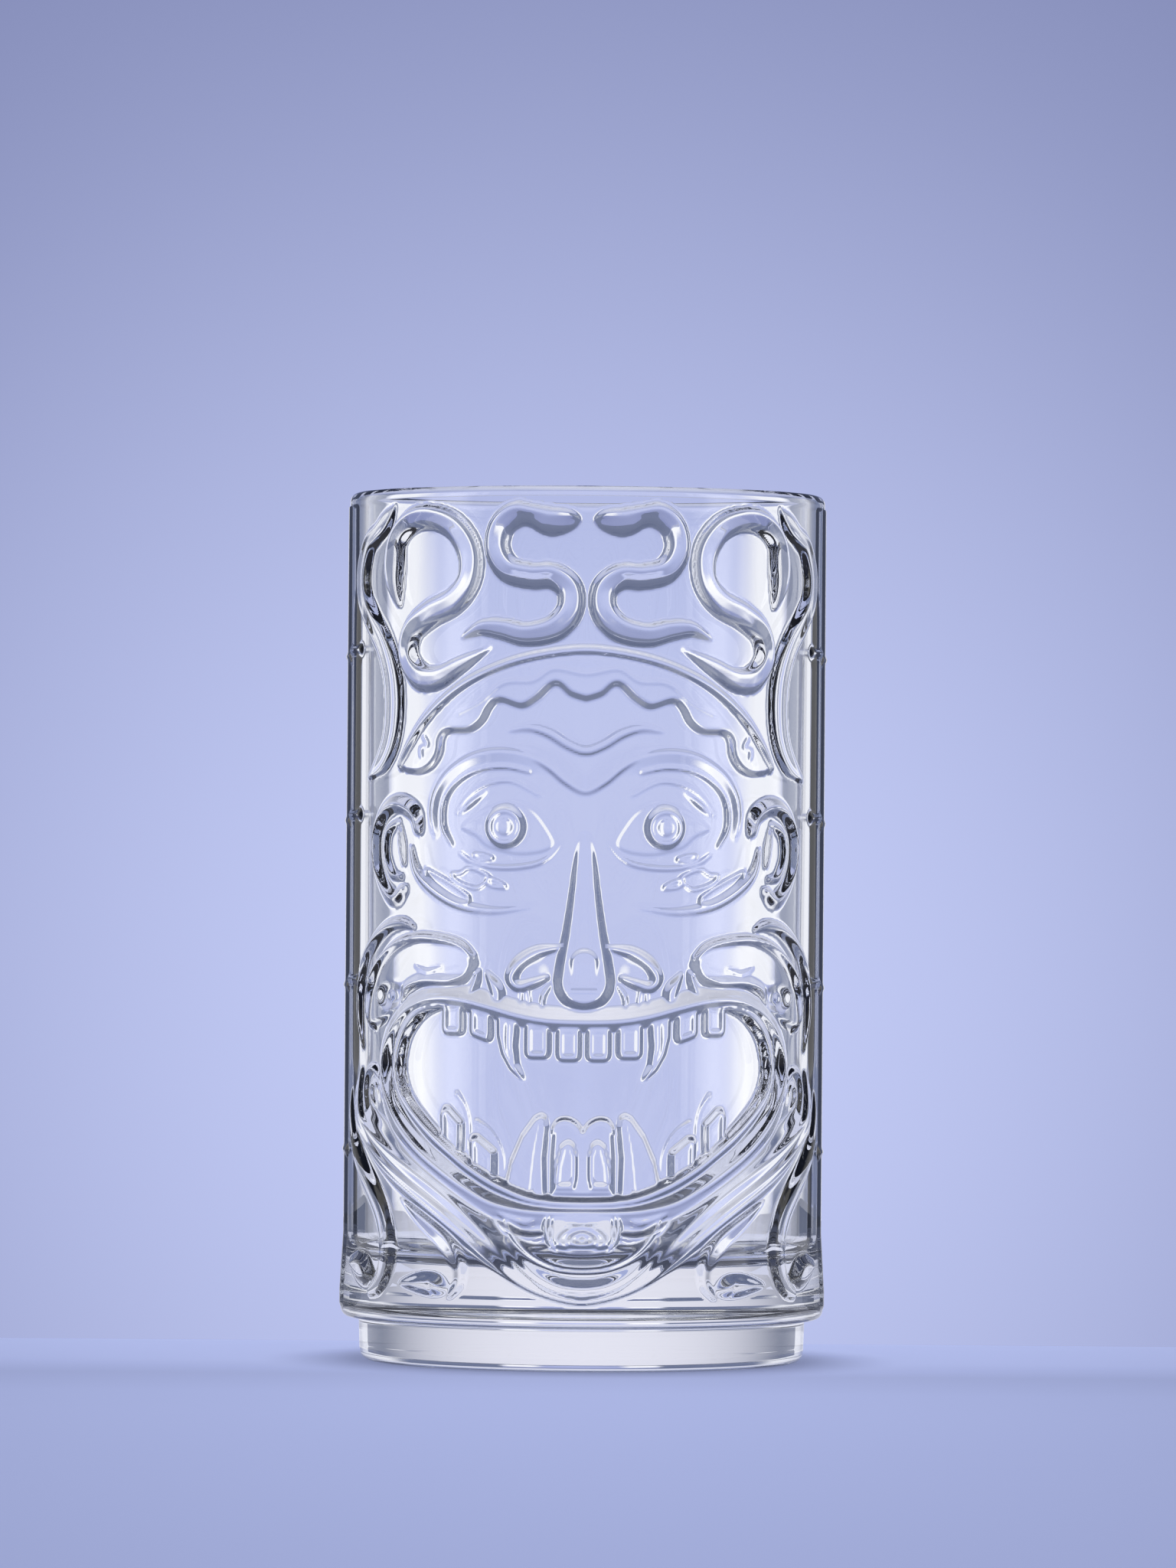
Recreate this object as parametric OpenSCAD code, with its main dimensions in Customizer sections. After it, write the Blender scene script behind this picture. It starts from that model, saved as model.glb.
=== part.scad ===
// A tall pressed-glass tumbler with a tiki face on its front and a plain back.
// The glass is one moulding. Each module is one named region or one relief feature of it.
// Lengths are millimetres. Z is up, the origin is on the axis at the table, the face looks along -Y.

/* [Body] */
// Overall height, table to lip
height = 148; // [130:1:165]
// Outer radius of the plain wall
wall_r = 40.6; // [37:0.1:44]
// Outer radius of the heel, just above the foot
heel_r = 41.2; // [40:0.1:44.5]
// Thickness of the wall at the lip
wall_t = 2.9; // [2.4:0.1:4]
// How much thicker the wall is at its bottom
wall_draft = 0.9; // [0.3:0.1:1.6]

/* [Base] */
// Outer radius of the foot
foot_r = 38.1; // [34:0.1:39]
// Height of the foot
foot_h = 7.4; // [5:0.1:10]
// Height of the floor of the cup above the table
floor_z = 17; // [15:0.5:20]
// Radius between the floor and the inside of the wall
floor_round = 4.5; // [3:0.5:9]
// Radius of the hollow under the foot
punt_r = 31; // [26:0.5:32]
// Depth of the hollow under the foot
punt_depth = 1.5; // [0.8:0.1:3]

/* [Lip] */
// Height of the rounded lip
lip_h = 2.4; // [2:0.1:3]

/* [Relief] */
// Multiplies every height of the relief
relief = 1; // [0.6:0.05:1.2]
// Width of the flat crown of a ridge, as a share of the ridge
crown = 0.5; // [0.3:0.05:0.7]

/* [Hidden] */
clear_glass = [0.80, 0.86, 0.96, 0.45];

// The relief is drawn on the unrolled wall: u is the distance round it from the middle of the
// face, z the height, both for a tumbler of the design size.
design_r = 41.3;
design_height = 148;
rise = height / design_height;
heel_top = 12;
wall_foot = 22;
punt_round = 1.6;

// Radius of the ground that the relief stands on, at design height z
function ground_r(z) =
    z >= wall_foot ? wall_r
    : z <= heel_top ? heel_r
    : heel_r + (wall_r - heel_r) * (z - heel_top) / (wall_foot - heel_top);

function on_wall(u, z, h) =
    let (a = u / design_r * 180 / PI, r = ground_r(z) + h * relief)
    [r * sin(a), -r * cos(a), z * rise];

// A quarter turn of an arc, as outline points
function corner(centre, r, from, to, n = 5) =
    [for (i = [0 : n]) let (a = from + (to - from) * i / n) centre + r * [cos(a), sin(a)]];

// A smooth curve through hand-placed points, with n steps between each two
function between(a, b, c, d, t) =
    0.5 * (2 * b + (c - a) * t + (2 * a - 5 * b + 4 * c - d) * t * t
           + (3 * b - a - 3 * c + d) * t * t * t);
function smooth_line(p, n) = concat(
    [for (i = [0 : len(p) - 2], k = [0 : n - 1])
        between(p[max(i - 1, 0)], p[i], p[i + 1], p[min(i + 2, len(p) - 1)], k / n)],
    [p[len(p) - 1]]);
function smooth_loop(p, n) =
    [for (i = [0 : len(p) - 1], k = [0 : n - 1])
        between(p[(i + len(p) - 1) % len(p)], p[i], p[(i + 1) % len(p)], p[(i + 2) % len(p)], k / n)];

// A half line that starts on the middle of the face, carried over to the other half. A line
// that also ends on the middle makes a loop, with that last point in it once.
function both_halves(p) = concat(
    [for (i = [len(p) - 1 : -1 : 1]) if (p[i][0] > 0) [-p[i][0], p[i][1], p[i][2], p[i][3]]],
    p);

// A closed skin over a row of rings that have the same number of points. A looped skin joins
// its last ring to its first.
module skin(rings, looped = false) {
    n = len(rings[0]);
    count = len(rings);
    function at(i, k) = (i % count) * n + k % n;
    polyhedron(
        points = [for (ring = rings) each ring],
        faces = concat(
            looped ? [] : [for (k = [1 : n - 2]) [at(0, 0), at(0, k), at(0, k + 1)]],
            looped ? [] : [for (k = [1 : n - 2])
                [at(count - 1, 0), at(count - 1, k + 1), at(count - 1, k)]],
            [for (i = [0 : count - (looped ? 1 : 2)], k = [0 : n - 1]) each [
                [at(i, k), at(i + 1, k), at(i + 1, k + 1)],
                [at(i, k), at(i + 1, k + 1), at(i, k + 1)]
            ]]));
}

// A ridge along a line of [u, z, half width, height] points
module ridge(line, steps = 2, sharp = false, looped = false) {
    p = looped ? smooth_loop(line, steps) : smooth_line(line, steps);
    count = len(p);
    last = count - 1;
    section = sharp ? [[-1, 0], [0, 1], [1, 0]] : [[-1, 0], [-crown, 1], [crown, 1], [1, 0]];
    skin(looped = looped, rings = [for (i = [0 : last])
        let (
            along = looped ? p[(i + 1) % count] - p[(i + last) % count]
                : p[min(i + 1, last)] - p[max(i - 1, 0)],
            size = norm([along[0], along[1]]),
            across = [-along[1], along[0]] / size,
            w = max(p[i][2], 0.15),
            h = max(p[i][3], 0.2)
        )
        [for (s = section)
            on_wall(p[i][0] + across[0] * s[0] * w, p[i][1] + across[1] * s[0] * w, s[1] * h)]]);
}

// A bevelled plate with a convex outline of [u, z] points
module plate(outline, h, top = 0.8) {
    middle = [for (k = [0, 1]) [for (p = outline) p[k]] * [for (p = outline) 1] / len(outline)];
    skin([
        [for (p = outline) on_wall(p[0], p[1], 0)],
        [for (p = outline) on_wall(middle[0] + (p[0] - middle[0]) * top,
                                   middle[1] + (p[1] - middle[1]) * top, h)]
    ]);
}

module left_and_right() {
    children();
    mirror([1, 0, 0]) children();
}

module ridges(lines, steps = 2, sharp = false) {
    for (line = lines) ridge(line, steps, sharp);
}

// ---- The vessel -------------------------------------------------------------------------

module foot() {
    color(clear_glass) rotate_extrude($fn = 96)
        polygon(concat(
            [[0, punt_depth], [punt_r - punt_round, punt_depth], [punt_r, 0]],
            corner([foot_r - punt_round - 0.2, punt_round], punt_round, -90, 0),
            [[foot_r, foot_h], [0, foot_h]]));
}

module base() {
    color(clear_glass) rotate_extrude($fn = 96)
        polygon(concat(
            [[0, foot_h]],
            corner([heel_r - 1.4, foot_h + 1.4], 1.4, -90, 0),
            [[heel_r, heel_top * rise], [ground_r(floor_z / rise), floor_z], [0, floor_z]]));
}

module wall() {
    inner_top = wall_r - wall_t;
    inner_foot = inner_top - wall_draft;
    lip_z = height - lip_h;
    color(clear_glass) rotate_extrude($fn = 96)
        polygon(concat(
            [[ground_r(floor_z / rise), floor_z], [wall_r, wall_foot * rise], [wall_r, lip_z],
             [inner_top, lip_z]],
            corner([inner_foot - floor_round, floor_z + floor_round], floor_round, 0, -90, 6)));
}

module rim() {
    lip_r = wall_t / 2;
    lip_z = height - lip_h;
    color(clear_glass) rotate_extrude($fn = 96)
        polygon(concat(
            [[wall_r - wall_t, lip_z], [wall_r, lip_z]],
            corner([wall_r - lip_r, height - lip_r], lip_r, 0, 180, 8)));
}

// ---- Snakes of the crown ----------------------------------------------------------------

inner_snake = [
    [1.4, 142.3, 0.3, 0.5], [3.4, 142.2, 1.6, 1.2], [6.2, 142.0, 2.2, 1.5], [9.4, 143.0, 1.6, 1.4],
    [12.4, 143.1, 1.5, 1.4], [15.0, 140.9, 1.5, 1.4], [15.6, 137.2, 1.5, 1.4],
    [13.6, 134.0, 1.5, 1.4], [9.6, 132.9, 1.5, 1.4], [5.6, 132.8, 1.6, 1.4],
    [2.9, 130.6, 1.6, 1.4], [2.9, 127.0, 1.6, 1.4], [5.6, 124.1, 1.6, 1.4],
    [10.2, 123.1, 1.6, 1.4], [14.5, 124.0, 1.5, 1.3], [18.4, 124.2, 1.1, 1.0],
    [22.2, 122.6, 0.3, 0.4]
];
outer_snake = [
    [36.7, 128.4, 0.4, 0.5], [37.6, 131.6, 1.9, 1.3], [37.7, 135.4, 2.3, 1.5],
    [36.8, 139.4, 1.8, 1.4], [33.4, 142.2, 1.7, 1.4], [28.8, 142.9, 1.7, 1.4],
    [24.0, 141.3, 1.8, 1.4], [20.9, 137.3, 2.0, 1.4], [20.8, 132.4, 2.0, 1.4],
    [23.8, 128.8, 1.9, 1.4], [28.8, 126.6, 1.9, 1.4], [33.0, 123.8, 2.0, 1.4],
    [34.0, 119.6, 2.0, 1.4], [31.2, 116.2, 1.9, 1.4], [27.0, 115.9, 1.6, 1.2],
    [22.5, 118.0, 1.1, 0.9], [17.0, 120.8, 0.3, 0.4]
];
temple_snake = [
    [38.3, 144.7, 0.4, 0.6], [40.8, 142.2, 2.0, 1.3], [44.2, 140.6, 2.2, 1.4],
    [47.6, 138.2, 2.3, 1.4], [49.2, 134.0, 2.5, 1.4], [48.4, 129.6, 2.5, 1.4],
    [45.2, 126.0, 2.5, 1.4], [41.2, 122.0, 2.5, 1.4], [38.6, 117.0, 2.6, 1.4],
    [37.8, 111.5, 2.6, 1.4], [38.6, 106.0, 2.4, 1.3], [41.3, 102.0, 1.8, 1.1],
    [46.2, 99.3, 0.4, 0.5]
];

module crown_snakes_inner() color(clear_glass) left_and_right() ridge(inner_snake);
module crown_snakes_outer() color(clear_glass) left_and_right() ridge(outer_snake);
module temple_snakes() color(clear_glass) left_and_right() ridge(temple_snake);

// ---- Head band and brow -----------------------------------------------------------------

band_top = [[0, 119.6], [9, 118.5], [16, 116.2], [22, 113.2], [27.5, 109.2], [32, 104.2], [34.6, 101.4]];
band_edge = [
    [0, 111.9], [3.2, 112.8], [5.2, 114.6], [7.4, 112.4], [10.8, 110.9], [13.2, 111.2],
    [15, 112.1], [16.6, 110.0], [19, 107.4], [22, 106.6], [25, 107.0], [25.8, 103.6],
    [28, 100.8], [31.4, 99.7], [34.6, 100.6]
];
band_line = [
    [0, 120.5, 1.1, 1.4], [9, 119.4, 1.1, 1.4], [16.5, 117.1, 1.1, 1.4], [23, 113.8, 1.1, 1.4],
    [29, 109.1, 1.1, 1.3], [33, 104.7, 1.0, 1.2], [35.4, 101.0, 0.6, 0.8]
];
crease_line = [[0, 103.4, 0.6, 0.6], [3, 104.3, 0.6, 0.6], [6.2, 106.2, 0.6, 0.6],
               [9.6, 107.0, 0.5, 0.5], [13.2, 106.7, 0.25, 0.3]];
brow_line = [
    [0, 97.2, 1.8, 1.4], [3.5, 98.6, 2.0, 1.6], [7.5, 101.3, 2.0, 1.7], [12, 103.0, 2.0, 1.7],
    [18, 102.7, 2.0, 1.6], [23.2, 100.7, 1.9, 1.5], [26.9, 97.4, 1.6, 1.3],
    [28.5, 93.6, 1.1, 1.0], [28.6, 90.8, 0.4, 0.5]
];
band_h = 0.8;

module head_band() {
    low = both_halves([for (p = band_edge) [p[0], p[1], 0, 0]]);
    function top_z(u) = lookup(abs(u), band_top);
    color(clear_glass)
        skin([for (p = low) let (u = p[0], z = p[1], t = max(top_z(u), z + 0.3))
            [on_wall(u, z, 0), on_wall(u, z, band_h), on_wall(u, t, band_h), on_wall(u, t, 0)]]);
}
module band_cord() color(clear_glass) ridge(both_halves(band_line));
module forehead_creases() color(clear_glass) ridge(both_halves(crease_line), 1, true);
module brows() color(clear_glass) ridge(both_halves(brow_line));

// ---- Eyes -------------------------------------------------------------------------------

socket_loop = [
    [2.9, 88.8, 0.4, 0.4], [5.0, 92.8, 0.7, 0.6], [8.5, 96.3, 0.8, 0.7], [13, 98.2, 0.9, 0.8],
    [18, 98.0, 0.9, 0.8], [22, 96.2, 0.9, 0.8], [25, 93.2, 0.8, 0.7], [26.3, 90.2, 0.6, 0.5],
    [24.6, 87.4, 0.6, 0.5], [20.5, 85.5, 0.7, 0.6], [15, 84.6, 0.7, 0.6], [9.5, 84.8, 0.7, 0.6],
    [5.4, 86.2, 0.6, 0.5]
];
lid_loop = [[5.0, 88.2, 0.5, 0.5], [8, 91.6, 0.6, 0.9], [12, 94.5, 0.7, 1.0],
            [16.5, 94.4, 0.7, 1.0], [22.2, 91.4, 0.5, 0.5], [17.8, 87.8, 0.6, 0.8],
            [13.5, 86.6, 0.6, 0.8], [9.4, 86.8, 0.6, 0.8]];
ball_line = [[6.4, 88.9, 0.5, 0.3], [9.8, 90.0, 2.4, 0.6], [13.6, 90.6, 3.1, 0.7],
             [17.4, 90.9, 2.3, 0.6], [20.8, 91.1, 0.4, 0.3]];
bag_lines = [
    [[33.0, 86.6, 0.5, 0.5], [31.6, 83.0, 0.9, 0.8], [27.5, 79.6, 1.0, 0.9], [22, 77.6, 0.9, 0.8],
     [16, 76.9, 0.7, 0.6], [9.5, 77.3, 0.3, 0.3]],
    [[29.6, 84.6, 0.4, 0.5], [27.0, 82.0, 0.8, 0.8], [23.0, 79.9, 0.8, 0.8],
     [18.5, 78.7, 0.6, 0.6], [15.5, 78.6, 0.3, 0.3]],
    [[24.5, 84.0, 0.4, 0.5], [21.5, 82.0, 0.8, 0.8], [17.5, 81.0, 0.8, 0.8], [13.4, 81.4, 0.3, 0.4]]
];
eye_u = 13.8;
eye_z = 90.8;
iris_r = 2.9;
iris_wire = 0.6;
pupil_r = 1.5;

// Children are drawn at the middle of the iris, with their own Z pointing out of the wall
module at_eye(out) {
    rotate([0, 0, eye_u / design_r * 180 / PI]) translate([0, -wall_r - out, eye_z * rise])
        rotate([90, 0, 0]) children();
}

module eye_sockets() color(clear_glass) left_and_right() ridge(socket_loop, 1, true, looped = true);
module eyelids() color(clear_glass) left_and_right() ridge(lid_loop, 1, true, looped = true);
module eyeballs() color(clear_glass) left_and_right() ridge(ball_line, 1);
module irises() {
    color(clear_glass) left_and_right() {
        at_eye(0.7 * relief) rotate_extrude($fn = 48) translate([iris_r, 0]) circle(iris_wire, $fn = 24);
        at_eye(0.4 * relief) cylinder(h = 1, r1 = pupil_r, r2 = pupil_r * 0.7, $fn = 32);
    }
}
module eye_bags() color(clear_glass) left_and_right() ridges(bag_lines, 1, true);

// ---- Ears -------------------------------------------------------------------------------

helix_line = [
    [31.2, 91.2, 0.8, 0.9], [32.6, 93.9, 1.6, 1.4], [36.2, 95.2, 1.7, 1.5], [40.3, 93.6, 1.5, 1.4],
    [42.8, 89.6, 1.4, 1.3], [42.7, 85.0, 1.4, 1.3], [40.4, 81.2, 1.5, 1.3],
    [37.0, 79.3, 1.4, 1.3], [34.7, 80.8, 0.8, 0.9]
];
antihelix_line = [[36.5, 92.0, 0.7, 0.8], [39.2, 90.2, 0.9, 0.9], [39.8, 86.4, 0.9, 0.9],
                  [38.0, 83.4, 0.8, 0.8], [35.6, 83.0, 0.4, 0.5]];
tragus_line = [[35.3, 89.8, 0.6, 0.8], [34.9, 86.6, 1.0, 0.9], [35.2, 84.6, 0.5, 0.6]];

module ears() color(clear_glass) left_and_right() {
    ridge(helix_line, 1);
    ridges([antihelix_line, tragus_line], 1, true);
}

// ---- Nose and cheeks --------------------------------------------------------------------

nose_line = [[0, 88.6, 0.9, 0.5], [0, 84, 1.5, 1.2], [0, 78, 2.1, 1.7], [0, 72, 2.9, 2.1],
             [0, 67, 4.2, 2.4], [0, 63.6, 4.8, 2.4], [0, 60.4, 3.4, 1.6]];
wing_line = [[4.9, 71.2, 0.5, 0.7], [7.6, 70.5, 1.1, 1.1], [11.0, 68.6, 1.3, 1.3],
             [12.5, 65.9, 1.3, 1.3], [11.0, 63.7, 1.2, 1.2], [8.6, 64.5, 0.9, 1.0],
             [6.4, 65.8, 0.6, 0.8]];
cheek_line = [[43.4, 57.8, 0.8, 0.7], [43.0, 61.2, 2.8, 1.5], [39.6, 65.3, 4.0, 2.0],
              [34.4, 67.7, 4.6, 2.3], [28.6, 68.3, 4.4, 2.3], [23.4, 67.3, 3.7, 2.0],
              [19.3, 65.9, 1.2, 1.0]];
whisker_line = [[32.3, 74.2, 0.5, 0.6], [35.0, 74.9, 1.0, 0.9], [39.5, 74.1, 1.1, 1.0],
                [44.2, 71.6, 1.1, 1.0], [48.2, 67.8, 0.8, 0.8], [49.2, 63.6, 0.4, 0.4]];

module nose() color(clear_glass) ridge(nose_line);
module nostrils() color(clear_glass) left_and_right() ridge(wing_line, 1);
module cheeks() color(clear_glass) left_and_right() ridge(cheek_line);
module whiskers() color(clear_glass) left_and_right() ridge(whisker_line, 1);

// ---- Mouth ------------------------------------------------------------------------------

lip_line = [
    [0, 57.6, 1.0, 1.1], [6, 58.2, 1.0, 1.1], [12, 59.4, 1.0, 1.1], [18, 60.9, 1.1, 1.2],
    [24, 61.8, 1.3, 1.3], [29.5, 60.6, 1.6, 1.5], [34, 57.2, 2.0, 1.6],
    [36.6, 52.2, 2.2, 1.7], [36.2, 47.2, 2.2, 1.7], [33.2, 42.4, 2.2, 1.7],
    [28.6, 38.3, 2.1, 1.7], [22.8, 33.9, 2.0, 1.6], [16.4, 30.2, 1.9, 1.5],
    [9, 27.6, 1.9, 1.5], [0, 26.9, 1.9, 1.4]
];
upper_tooth_outlines = [
    [[0.5, 51.7], [4.7, 51.7], [4.7, 56.6], [0.5, 56.4]],
    [[5.9, 52.3], [10.1, 52.4], [10.1, 57.3], [5.8, 57.0]],
    [[16.5, 55.2], [20.2, 56.2], [20.2, 60.0], [16.2, 59.1]],
    [[21.5, 56.3], [25.6, 56.6], [25.8, 60.5], [21.5, 60.3]]
];
lower_tooth_outlines = [
    [[15.2, 32.0], [19.6, 33.9], [20.0, 39.2], [18.4, 39.7], [15.1, 37.1]],
    [[21.3, 36.1], [25.3, 38.6], [25.8, 43.6], [24.3, 44.3], [21.2, 41.5]]
];
upper_fang = [[13.3, 57.8, 1.9, 1.1], [13.0, 55.0, 1.7, 1.1], [12.0, 52.0, 1.2, 1.0],
              [10.5, 48.8, 0.25, 0.4]];
lower_fang = [[11.2, 30.4, 2.8, 1.0], [10.4, 34.5, 2.4, 1.1], [8.9, 38.8, 1.6, 1.0],
              [6.9, 43.2, 0.3, 0.4]];
incisor_line = [[3.2, 29.4, 2.5, 0.9], [3.2, 34.0, 2.4, 1.0], [3.0, 37.6, 1.8, 0.9],
                [2.7, 39.6, 0.5, 0.4]];
tongue_line = [[3.1, 39.2, 3.0, 0.5], [3.1, 40.8, 2.4, 0.5], [3.1, 42.0, 1.2, 0.3]];
tooth_h = 0.9;

module lips() color(clear_glass)
    ridge(both_halves(lip_line), looped = true);
module upper_teeth() color(clear_glass) left_and_right()
    for (outline = upper_tooth_outlines) plate(outline, tooth_h);
module lower_teeth() color(clear_glass) left_and_right()
    for (outline = lower_tooth_outlines) plate(outline, tooth_h);
module upper_fangs() color(clear_glass) left_and_right() ridge(upper_fang, 1);
module lower_fangs() color(clear_glass) left_and_right() ridge(lower_fang, 1);
module incisors() color(clear_glass) left_and_right() ridge(incisor_line, 1);
module tongue() color(clear_glass) left_and_right() ridge(tongue_line, 1);

// ---- Chin, jaw and beard ----------------------------------------------------------------

chin_line = [[0, 25.2, 5.8, 1.5], [0, 22.4, 6.0, 1.9], [0, 19.6, 4.9, 1.8], [0, 17.6, 2.4, 0.9]];
fold_lines = [
    [[6.8, 24.6, 0.5, 0.5], [10, 24.9, 0.6, 0.6], [13.6, 25.8, 0.3, 0.3]],
    [[6.6, 22.0, 0.5, 0.5], [10, 21.9, 0.6, 0.6], [13.0, 22.6, 0.3, 0.3]]
];
strap_line = [[0, 14.9, 2.0, 1.4], [5.4, 15.6, 1.9, 1.4], [9.4, 17.7, 1.3, 1.2],
              [12.6, 20.9, 0.3, 0.5]];
jaw_line = [
    [0, 11.6, 0.8, 0.9], [5.4, 12.1, 1.0, 1.0], [10.6, 14.4, 1.5, 1.3], [15.2, 18.2, 2.2, 1.5],
    [20.4, 22.2, 2.6, 1.5], [26.2, 26.0, 2.7, 1.5], [32.0, 29.6, 2.7, 1.5],
    [38.0, 33.0, 2.6, 1.5], [43.4, 37.0, 2.3, 1.5], [47.4, 41.6, 1.9, 1.4],
    [48.8, 46.4, 1.5, 1.3], [47.7, 50.2, 0.6, 0.7]
];
curl_lines = [
    [[40.6, 42.0, 0.4, 0.5], [40.4, 45.4, 0.8, 0.9], [41.6, 48.7, 0.9, 1.0],
     [44.0, 50.0, 0.9, 1.0], [45.8, 47.6, 0.9, 1.0], [45.2, 43.6, 0.9, 0.9],
     [42.6, 40.4, 0.8, 0.8], [39.0, 38.0, 0.4, 0.5]],
    [[43.2, 47.3, 0.6, 0.7], [43.4, 44.8, 0.6, 0.7], [42.7, 43.0, 0.3, 0.4]]
];
beard_snake = [
    [34.8, 28.0, 0.3, 0.4], [31.6, 25.7, 1.0, 1.0], [27.8, 23.1, 1.4, 1.3],
    [24.2, 20.5, 1.6, 1.4], [21.8, 17.8, 1.6, 1.4], [21.1, 15.0, 1.6, 1.4],
    [22.8, 13.0, 1.8, 1.4], [26.6, 13.1, 2.4, 1.4], [30.6, 13.8, 1.9, 1.3],
    [34.8, 14.2, 0.4, 0.6]
];
side_snake = [
    [53.4, 46.6, 0.5, 0.5], [52.6, 42.5, 1.3, 1.0], [50.2, 37.6, 1.8, 1.3],
    [46.4, 33.0, 2.0, 1.4], [42.4, 28.6, 2.1, 1.4], [39.4, 23.8, 2.1, 1.4],
    [38.4, 18.8, 2.0, 1.4], [39.8, 14.8, 2.0, 1.4], [43.2, 13.2, 2.1, 1.4],
    [47.2, 14.4, 2.6, 1.4], [50.4, 16.2, 1.8, 1.2], [53.0, 17.9, 0.4, 0.6]
];

module chin() color(clear_glass) ridge(chin_line, 1);
module chin_folds() color(clear_glass) left_and_right() ridges(fold_lines, 1, true);
module chin_strap() color(clear_glass) ridge(both_halves(strap_line));
module jaw_bands() color(clear_glass) ridge(both_halves(jaw_line));
module jaw_curls() color(clear_glass) left_and_right() ridges(curl_lines, 1, true);
module beard_snakes() color(clear_glass) left_and_right() ridge(beard_snake);
module side_snakes() color(clear_glass) left_and_right() ridge(side_snake, 1);

// ---- Bamboo at the sides of the face ----------------------------------------------------

stem_u = [61.1, 53.6];
stem_z = [[13, 143], [53, 126]];
stem_w = 3.3;
stem_h = 1.0;
ring_step = 15.6;
ring_half = 0.7;
ring_h = 1.3;

// First ring of each stem, so that the rings of the two stems are staggered
ring_from = [20, 65];

module bamboo_stems() color(clear_glass) left_and_right()
    for (i = [0, 1])
        ridge([[stem_u[i], stem_z[i][0], stem_w, stem_h * 0.6],
               [stem_u[i], stem_z[i][0] + 3, stem_w, stem_h],
               [stem_u[i], stem_z[i][1] - 3, stem_w, stem_h],
               [stem_u[i], stem_z[i][1], stem_w, stem_h * 0.6]], 1);
module bamboo_rings() color(clear_glass) left_and_right()
    for (i = [0, 1], z = [ring_from[i] : ring_step : stem_z[i][1] - 4])
        plate([[stem_u[i] - stem_w, z - ring_half], [stem_u[i] + stem_w, z - ring_half],
               [stem_u[i] + stem_w, z + ring_half], [stem_u[i] - stem_w, z + ring_half]], ring_h, 0.9);

foot();
base();
wall();
rim();
crown_snakes_inner();
crown_snakes_outer();
temple_snakes();
head_band();
band_cord();
forehead_creases();
brows();
eye_sockets();
eyelids();
eyeballs();
irises();
eye_bags();
ears();
nose();
nostrils();
cheeks();
whiskers();
lips();
upper_teeth();
upper_fangs();
lower_teeth();
lower_fangs();
incisors();
tongue();
chin();
chin_folds();
chin_strap();
jaw_bands();
jaw_curls();
beard_snakes();
side_snakes();
bamboo_stems();
bamboo_rings();
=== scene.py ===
"""A tall tumbler of clear pressed glass with a tiki face on its front and a plain back.

The glass is one closed mesh. Its outline is a turned profile, and its relief is a height field over
the unrolled wall: u is the distance round the wall from the middle of the face, z the height above
the table, both in millimetres. One side of the face is drawn and mirrored into the other.
"""

import math

import bpy
import numpy as np
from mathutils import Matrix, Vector


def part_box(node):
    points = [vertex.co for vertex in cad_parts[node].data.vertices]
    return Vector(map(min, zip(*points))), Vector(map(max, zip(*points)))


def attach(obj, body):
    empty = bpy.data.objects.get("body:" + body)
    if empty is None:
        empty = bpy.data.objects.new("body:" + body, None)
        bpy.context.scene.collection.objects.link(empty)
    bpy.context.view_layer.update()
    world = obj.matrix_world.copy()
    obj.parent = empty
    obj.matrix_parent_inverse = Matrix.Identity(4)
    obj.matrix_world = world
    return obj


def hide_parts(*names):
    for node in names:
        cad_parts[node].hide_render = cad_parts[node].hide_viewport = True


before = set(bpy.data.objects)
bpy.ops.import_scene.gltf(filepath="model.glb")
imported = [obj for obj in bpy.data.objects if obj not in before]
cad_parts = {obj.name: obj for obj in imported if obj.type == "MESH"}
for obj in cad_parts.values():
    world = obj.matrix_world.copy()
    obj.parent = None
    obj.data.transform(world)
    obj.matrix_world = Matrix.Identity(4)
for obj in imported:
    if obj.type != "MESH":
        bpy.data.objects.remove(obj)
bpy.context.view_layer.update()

MM = 0.001

# ---- Sizes, in millimetres, from the frame -----------------------------------------------------

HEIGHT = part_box("rim")[1].z / MM
WALL_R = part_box("rim")[1].x / MM
HEEL_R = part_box("base")[1].x / MM
FOOT_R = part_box("foot")[1].x / MM
FOOT_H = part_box("foot")[1].z / MM
FLOOR_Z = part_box("wall")[0].z / MM
LIP_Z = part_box("rim")[0].z / MM

ARC_R = 41.3            # radius that the arc lengths of the relief are laid out on
HEEL_TOP = 12.0         # below this the ground of the relief is as wide as the heel
WALL_FOOT = 22.0        # where the plain wall starts
LIP_T = 2.9             # wall thickness at the lip
DRAFT = 0.9             # how much thicker the wall is at its bottom
FLOOR_ROUND = 4.5       # radius between the floor and the inside of the wall
PUNT_R = 31.0           # radius of the hollow under the foot
PUNT_DEPTH = 1.5

QUARTER_COLUMNS = 216   # steps of the relief round a quarter of the wall
ROW_STEP = 0.3          # height of one row of the relief
QUARTER_U = ARC_R * math.pi / 2
SOFTEN = 0.18           # how much fire polishing rounds the relief
RELIEF_FOOT = FOOT_H + 2.2      # where the rows of the relief start
THINNEST = 0.12         # the least half width of a line
MARGIN = 1.05           # how many half widths round a line are worked out
FAR = 99.0              # stands for anything too far off to matter


# ---- Drawing the relief ------------------------------------------------------------------------

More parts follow.
